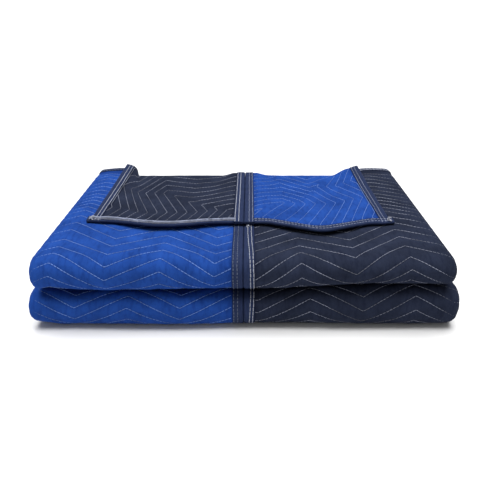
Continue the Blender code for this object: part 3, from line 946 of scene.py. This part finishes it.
def thread_material(name, colour, worn=0.7):
    """A thread, fuzzy and in places worn to a share of its brightness."""
    nodes = Nodes(name)
    place = nodes.place()
    fuzz = nodes.noise(place, 2600.0, 2.0, 0.5)
    dark = tuple(THREAD_DARK * c for c in colour)
    wear = nodes.ramp(nodes.noise(place, 21.0, 3.0, 0.6), 0.36, 0.60, (worn,) * 3, WHITE)
    return nodes.finish({
        "Base Color": nodes.multiply(nodes.ramp(fuzz, 0.3, 0.7, dark, colour), wear),
        "Normal": nodes.bump(fuzz, 0.0001), "Roughness": 0.6})


def floor_material():
    nodes = Nodes("pale floor")
    speckle = nodes.noise(nodes.place(), 3.0, 2.0, 0.5)
    return nodes.finish({
        "Base Color": nodes.ramp(speckle, 0.2, 0.8, *FLOOR_TONES),
        "Roughness": 1.0, "Specular IOR Level": 0.0})


# ---------- the blanket
BLUE = cloth_material("blue quilted cotton", srgb(34, 73, 152), srgb(27, 60, 129), 0.01)
BLACK = cloth_material("black quilted cotton", srgb(40, 46, 64), srgb(31, 36, 51), 0.01)
NAVY = tape_material("navy woven binding", srgb(42, 53, 84), srgb(29, 37, 62))
WHITE_THREAD = thread_material("white thread", srgb(178, 182, 196))
GREY_THREAD = thread_material("grey thread", srgb(106, 112, 134), 0.5)
PALE_THREAD = thread_material("pale thread", srgb(158, 167, 194))
DULL_THREAD = thread_material("dull thread", srgb(100, 110, 132))
QUILT_ON_BLUE = thread_material("quilting thread on blue", srgb(112, 150, 222), 0.55)
QUILT_ON_BLACK = thread_material("quilting thread on black", srgb(146, 152, 172), 0.34)

# The ways of sewing, as in Thread.
QUILTING = (0.0048, 0.0006, 0.00048, 0.00050, 0.00012)
CLEAN = (0.0060, 0.0008, 0.00062, 0.00045, 0.00025)
MESSY = (0.0130, -0.0045, 0.00060, 0.00070, 0.00085)
DASHED = (0.0036, 0.0020, 0.00050, 0.00030, 0.00025)
SEAM_STEP = 0.002  # between two points of a seam

# The two rows of stitches on a binding, by their place past the cloth's edge.
ROWS = (0.0020 - TAPE, 0.0078 - TAPE)
# On a hem they differ, and from them to its edge the left one is overcast with grey.
HEM_ROWS = {"left": (-0.0118, -0.0100), "right": (-0.0110, -0.0040)}
OVERCAST_ROWS = (-0.0082, -0.0062, -0.0042, -0.0022)
# On the right panel's face they wander: the two rows' distances from the
# blanket's middle on the lower fold, at the crease and under the flap's hem.
CENTRE_ROWS = ((0.0129, 0.0155, 0.0117), (0.0078, 0.0110, 0.0063))
ROW_START = 0.009  # how far up the lower fold the rows begin
HEM_ON_TOP = 0.086  # from V_TOP to where the flap's hem lies on the top sheet
ROWS_HIDDEN = 1.4  # share of that at which they end, under the flap
THREADS_UNDER = QUILT_APEX / 4  # how far under the lower fold the lines begin
TUFT = ((0.0030, 0.0030, 0.0035), 5)  # its half sizes and its number of loops
KNOT = ((0.0040, 0.0034, 0.0042), 8)
KNOT_INSET = 0.002  # from the flap's side to the knots at its corner
KNOT_BACKS = (0.002, 0.007)  # from the hem to each of them


def seam_columns(panel, start):
    """The columns of a seam across the face and round the side fold."""
    faces = [("face", x) for x in stations(start, panel.top_fold, SEAM_STEP)]
    return faces + fold_columns(SEAM_FOLD_STEPS)[:-1]


def quilting_seams(panel):
    """The thread lines on a panel's face, and on its leg round the back turn."""
    columns = [("face", CENTRE_ZONE + GAP)] + seam_columns(panel, CENTRE_ZONE + SEAM_STEP)

    def face_point(place, height):
        column, v = place
        return panel.point(column, panel.row(column, v), height)

    lines = [v for v in panel.lower_lines + panel.upper_lines if v > V_LOWER_FOLD - THREADS_UNDER]
    off = CLOTH * STITCH_LOFT / 2
    seams = [seam(face_point, [(column, v) for column in columns], off) for v in lines]
    stretched = (MIDDLE - panel.leg_w) / INNER  # the leg's way round, over the face's
    middle = (V_TURN + V_TURNED) / 2

    def leg_point(place, height):
        x, number = place
        across = panel.unrolled(("leg", x), middle)
        along = number * TURN_SPACING + LOWER_RISE * panel.zigzag(across, middle)
        return panel.point(("leg", x), middle + along / stretched, height)

    half = round(stretched * (V_TURNED - V_TURN) / TURN_SPACING / 2)
    off = CLOTH * HIDDEN_LOFT / 2
    legs = leg_stations(panel, 2 * SEAM_STEP)
    return seams + [seam(leg_point, [(x, n) for x in legs], off) for n in range(-half, half + 1)]


def flap_seams(panel):
    """The thread lines on the flap, in nested corners round its hem's middle."""
    side, hem = FLAP_QUILTS[panel.side]
    off = -CLOTH * STITCH_LOFT / 2
    outs = stations(GAP, panel.flap_zone - CENTRE_ZONE - GAP, SEAM_STEP)
    ups = stations(EDGE_ZONE + GAP, FLAP_LENGTH, SEAM_STEP)

    def point(place, height):
        return panel.point(("face", CENTRE_ZONE + place[0]), V_HEM - place[1], height, flap=True)

    seams = []
    for number in FLAP_LINES:
        beside = [(zigzag_line(side, number, up), up) for up in ups]
        along = [(out, zigzag_line(hem, number, out)) for out in outs]
        beside = [place for place in beside if line_number(hem, *place) <= number]
        along = [place for place in along if line_number(side, *reversed(place)) <= number]
        for line in (beside, along):
            inside = [p for p in line if outs[0] <= p[0] <= outs[-1] and ups[0] <= p[1] <= ups[-1]]
            if len(inside) > 2:
                seams.append(seam(point, inside, off))
    return seams


def tape_seam(fold, places, past, off):
    """A row of stitches: past is its place past the edge, or gives it for a place."""
    at = past if callable(past) else lambda place: past
    return seam(lambda place, height: fold(place, at(place), height), places, off)


def centre_row(distances):
    """Where a wandering row of the right panel's middle binding lies at v."""
    lower, crease, hem = distances

    def past(v):
        lower_end = smooth(V_LOWER_FOLD, V_LOWER_TOP, v)
        upper = smooth(V_UPPER_FOLD + MIDDLE, V_TOP + HEM_ON_TOP, v)
        return CENTRE_EDGE - mix(mix(lower, crease, lower_end), hem, upper)
    return past


def face_rows(panel):
    """The rows on a panel's bindings: beside its middle, at its ears and on its leg."""
    seams = []
    last = V_TOP + ROWS_HIDDEN * HEM_ON_TOP
    for row, distances in zip(ROWS, CENTRE_ROWS):
        beside = row if panel.side < 0 else centre_row(distances)
        for start, end in ((V_LOWER_FOLD + ROW_START, V_LOWER_TOP), (V_UPPER_FOLD, last)):
            places = stations(start, end, SEAM_STEP)
            seams.append(tape_seam(panel.centre_fold, places, beside, TAPE_TOP))
        ear = seam_columns(panel, panel.ear)
        seams.append(tape_seam(panel.back_fold, ear, row, TAPE_TOP))
        turn = stations(V_TURN, V_TURNED, SEAM_STEP)
        seams.append(tape_seam(panel.leg_fold, turn, row, TAPE_TOP))
    return seams


def flap_rows(panel):
    """The rows on the flap's bindings: beside its middle and along its side."""
    seams = []
    places = stations(V_EAR, V_HEM, SEAM_STEP)
    for row in ROWS:
        seams.append(tape_seam(panel.centre_fold, places, row, -TAPE_TOP))
        seams.append(tape_seam(panel.side_fold, places[1:], row, -TAPE_TOP))
    return seams


def hem_rows(panel, rows):
    places = stations(CENTRE_EDGE + TAPE, panel.flap_half, SEAM_STEP)
    return [tape_seam(panel.hem_fold, places, past, -TAPE_TOP) for past in rows]


def make_threads(side, panel, seed):
    bright, dull = Thread(WHITE_THREAD, *CLEAN), Thread(DULL_THREAD, *DASHED)
    messy, pale = Thread(PALE_THREAD, *MESSY), Thread(PALE_THREAD, *DASHED)
    on_blue, on_black = Thread(QUILT_ON_BLUE, *QUILTING), Thread(QUILT_ON_BLACK, *QUILTING)
    corner = ("face", panel.flap_half - KNOT_INSET)
    knot = [(panel.point(corner, V_HEM - back, -TAPE_TOP, flap=True), *KNOT) for back in KNOT_BACKS]
    plan = {"quilting_face": quilting_seams(panel), "quilting_flap": flap_seams(panel),
            "binding_rows_face": face_rows(panel), "binding_rows_flap": flap_rows(panel),
            "binding_rows_hem": hem_rows(panel, HEM_ROWS[side])}
    if side == "left":
        threads = [on_blue, on_black, dull, bright, messy, Thread(GREY_THREAD, *MESSY)]
        plan["overcast_hem"] = hem_rows(panel, OVERCAST_ROWS)
        loose = {"binding_rows_flap": knot}
    else:
        threads = [on_black, on_blue, bright, pale, pale]
        tuft = panel.point(("face", CENTRE_ROWS[1][2]), V_TOP + HEM_ON_TOP, TAPE_TOP)
        loose = {"binding_rows_face": [(tuft, *TUFT)] + knot}
    return [sew(f"{name}_{side}", thread, seams, seed, loose.get(name, ()))
            for thread, (name, seams) in zip(threads, plan.items())]


def make_blanket():
    for seed, (side, sizes) in enumerate(PANELS.items(), start=7):
        panel = Panel(**sizes)
        colours = (BLUE, BLACK) if side == "left" else (BLACK, BLUE)
        cloth = make_cloth(f"cloth_{side}", panel, colours)
        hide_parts(f"panel_{side}")
        sewn = make_bindings(side, panel, NAVY) + make_threads(side, panel, seed)
        for piece in [cloth] + sewn:
            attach(piece, "root")
        flat = (panel.unrolled(("leg", panel.leg_end), V_TOP), V_HEM)
        cloth_area(panel)


def cloth_area(panel):
    """Flat area of a panel: its full width to the ears' end, then the tongue."""
    width = panel.unrolled(("leg", panel.leg_end), V_TOP)
    return width * V_EAR + panel.flap_edge * (V_HEM - V_EAR)


# ---------- the studio
LENS = 36.374  # millimetres
SENSOR = 36.0
CAMERA_PLACE = (0.0083, -0.8186, 0.4598)
CAMERA_PITCH = 27.74  # degrees below the level
FLOOR_SIZE = 120.0  # reaches past the top of the picture
# The two soft lamps: degrees behind straight overhead, the angle that each
# fills in the sky, and its strength.
LAMPS = {"overhead": (3.0, 50.0, 4.65), "front": (-42.0, 90.0, 0.25)}
SKY = 0.25


def make_studio():
    bpy.ops.mesh.primitive_plane_add(size=FLOOR_SIZE, location=(0.0, 0.0, -GAP / 2))
    floor = bpy.context.object
    floor.name = "floor"
    floor.data.materials.append(floor_material())

    world = bpy.data.worlds.new("studio")
    world.use_nodes = True
    sky = world.node_tree.nodes["Background"].inputs
    sky["Color"].default_value = (*WHITE, 1.0)
    sky["Strength"].default_value = SKY
    bpy.context.scene.world = world

    for name, (behind, angle, strength) in LAMPS.items():
        light = bpy.data.lights.new(name, "SUN")
        light.angle = math.radians(angle)
        light.energy = strength
        lamp = make_object(name, light)
        lamp.rotation_euler = (-math.radians(behind), 0.0, 0.0)


def make_camera():
    data = bpy.data.cameras.new("camera")
    data.lens = LENS
    data.sensor_width = SENSOR
    camera = make_object("camera", data)
    camera.location = CAMERA_PLACE
    camera.rotation_euler = (math.radians(90.0 - CAMERA_PITCH), 0.0, 0.0)
    bpy.context.scene.camera = camera


bpy.context.scene.view_settings.view_transform = "Standard"
make_camera()
make_blanket()
make_studio()
